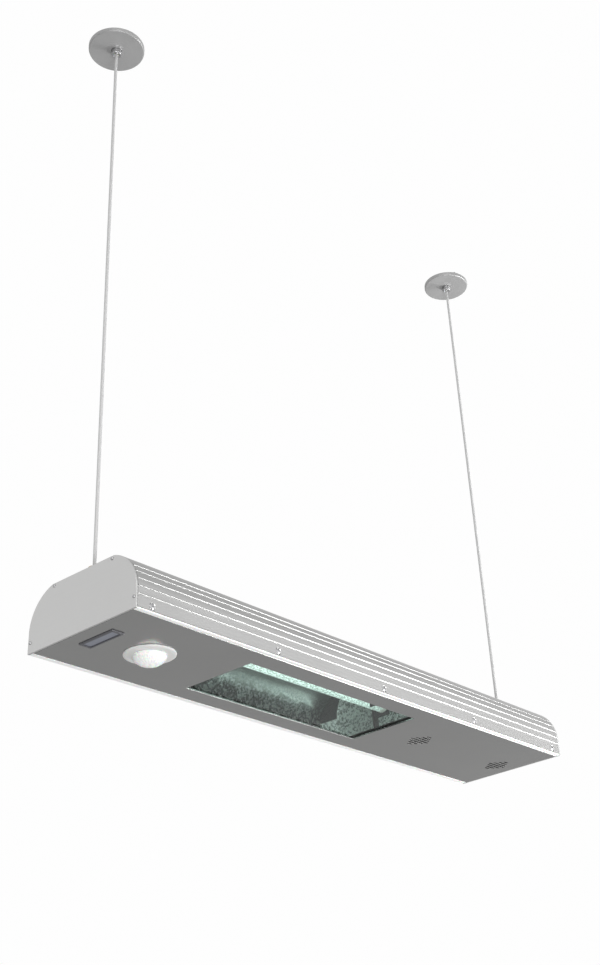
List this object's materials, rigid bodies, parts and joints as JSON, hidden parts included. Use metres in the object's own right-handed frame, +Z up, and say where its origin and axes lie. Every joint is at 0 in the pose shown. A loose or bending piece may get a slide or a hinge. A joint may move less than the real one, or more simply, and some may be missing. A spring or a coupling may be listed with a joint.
{
  "type": "suspended linear grow lamp",
  "caption": "Long ribbed lamp housing hung level from ceiling discs by thin cables, with a glazed window, round sensor, small display and slotted vents underneath.",
  "frame": {"origin": "on the ceiling plane, midway between the two ceiling plates", "axes": "+X along the lamp from the display end to the vent end, +Y from the near side to the far side, +Z up"},
  "size_m": [0.889, 0.1814, 0.9476],
  "materials": {
    "housing_silver": "satin silver, extruded",
    "panel_silver": "satin silver coat on folded sheet",
    "edge_white": "bright white strip",
    "screw_steel": "bright zinc",
    "pane_glass": "clear, faint green",
    "reflector_mirror": "polished, lightly stippled",
    "black_plastic": "black moulded",
    "tube_quartz": "frosted quartz",
    "driver_case": "satin case",
    "circuit_board": "green board",
    "screen": "slate blue display",
    "sensor_white": "light grey white moulding",
    "lens_white": "milky white lens",
    "socket_brass": "turned",
    "seat_nylon": "natural nylon",
    "ball_steel": "crimped ball end",
    "cable_jacket": "light grey round jacket",
    "canopy_grey": "satin grey",
    "plate_steel": "zinc plated"
  },
  "bodies": {
    "ceiling": {"ceiling_plate_left": "plate_steel", "ceiling_plate_right": "plate_steel", "canopy_left": "canopy_grey", "canopy_right": "canopy_grey", "ceiling_screw_left_near": "screw_steel", "ceiling_screw_left_far": "screw_steel", "ceiling_screw_right_near": "screw_steel", "ceiling_screw_right_far": "screw_steel"},
    "top_seats": {"top_seat_left": "seat_nylon", "top_seat_right": "seat_nylon"},
    "left_cable": {"cable_left": "cable_jacket", "top_ball_left": "ball_steel", "bottom_ball_left": "ball_steel"},
    "right_cable": {"cable_right": "cable_jacket", "top_ball_right": "ball_steel", "bottom_ball_right": "ball_steel"},
    "lamp_seats": {"anchor_seat_left": "seat_nylon", "anchor_seat_right": "seat_nylon"},
    "lamp": {"housing": "housing_silver", "end_plate_left": "housing_silver", "end_plate_right": "housing_silver", "face_panel": "panel_silver", "edge_strip_near": "edge_white", "edge_strip_far": "edge_white", "end_screw_left_top_near": "screw_steel", "end_screw_left_top_far": "screw_steel", "end_screw_left_low_near": "screw_steel", "end_screw_left_low_far": "screw_steel", "end_screw_right_top_near": "screw_steel", "end_screw_right_top_far": "screw_steel", "end_screw_right_low_near": "screw_steel", "end_screw_right_low_far": "screw_steel", "side_screw_near_1": "screw_steel", "side_screw_near_2": "screw_steel", "side_screw_near_3": "screw_steel", "side_screw_near_4": "screw_steel", "side_screw_near_5": "screw_steel", "side_screw_far_1": "screw_steel", "side_screw_far_2": "screw_steel", "side_screw_far_3": "screw_steel", "side_screw_far_4": "screw_steel", "side_screw_far_5": "screw_steel", "window_glass": "pane_glass", "reflector": "reflector_mirror", "reflector_cheek": "black_plastic", "lamp_tube": "tube_quartz", "tube_holder_left": "black_plastic", "tube_holder_right": "black_plastic", "driver": "driver_case", "control_board": "circuit_board", "display_bezel": "black_plastic", "display_screen": "screen", "sensor_body": "sensor_white", "sensor_dome": "lens_white", "fan_frame_left": "black_plastic", "fan_frame_right": "black_plastic", "anchor_left": "socket_brass", "anchor_right": "socket_brass"},
    "left_rotor": {"fan_rotor_left": "black_plastic"},
    "right_rotor": {"fan_rotor_right": "black_plastic"}
  },
  "joints": [
    {"name": "front_back_swing", "type": "hinge", "parent": "ceiling", "child": "top_seats", "pos_m": [0, 0, -0.008], "axis": [1, 0, 0], "range_deg": [-15, 15]},
    {"name": "end_to_end_swing", "type": "hinge", "parent": "top_seats", "child": "left_cable", "pos_m": [-0.4045, 0, -0.008], "axis": [0, 1, 0], "range_deg": [-10, 10]},
    {"name": "right_cable_swing", "type": "hinge", "parent": "top_seats", "child": "right_cable", "pos_m": [0.4045, 0, -0.008], "axis": [0, 1, 0], "range_deg": [-10, 10]},
    {"name": "lamp_levelling", "type": "hinge", "parent": "left_cable", "child": "lamp_seats", "pos_m": [-0.4045, 0, -0.8394], "axis": [0, 1, 0], "range_deg": [-10, 10]},
    {"name": "lamp_tilt", "type": "hinge", "parent": "lamp_seats", "child": "lamp", "pos_m": [0, 0, -0.8394], "axis": [1, 0, 0], "range_deg": [-10, 10]},
    {"name": "left_fan_spin", "type": "hinge", "parent": "lamp", "child": "left_rotor", "pos_m": [0.191, 0, -0.908], "axis": [0, 0, 1], "continuous": true},
    {"name": "right_fan_spin", "type": "hinge", "parent": "lamp", "child": "right_rotor", "pos_m": [0.382, 0, -0.908], "axis": [0, 0, 1], "continuous": true}
  ],
  "couplings": [
    {"joint": "right_cable_swing", "follows": "end_to_end_swing", "ratio": 1},
    {"joint": "lamp_levelling", "follows": "end_to_end_swing", "ratio": -1}
  ]
}
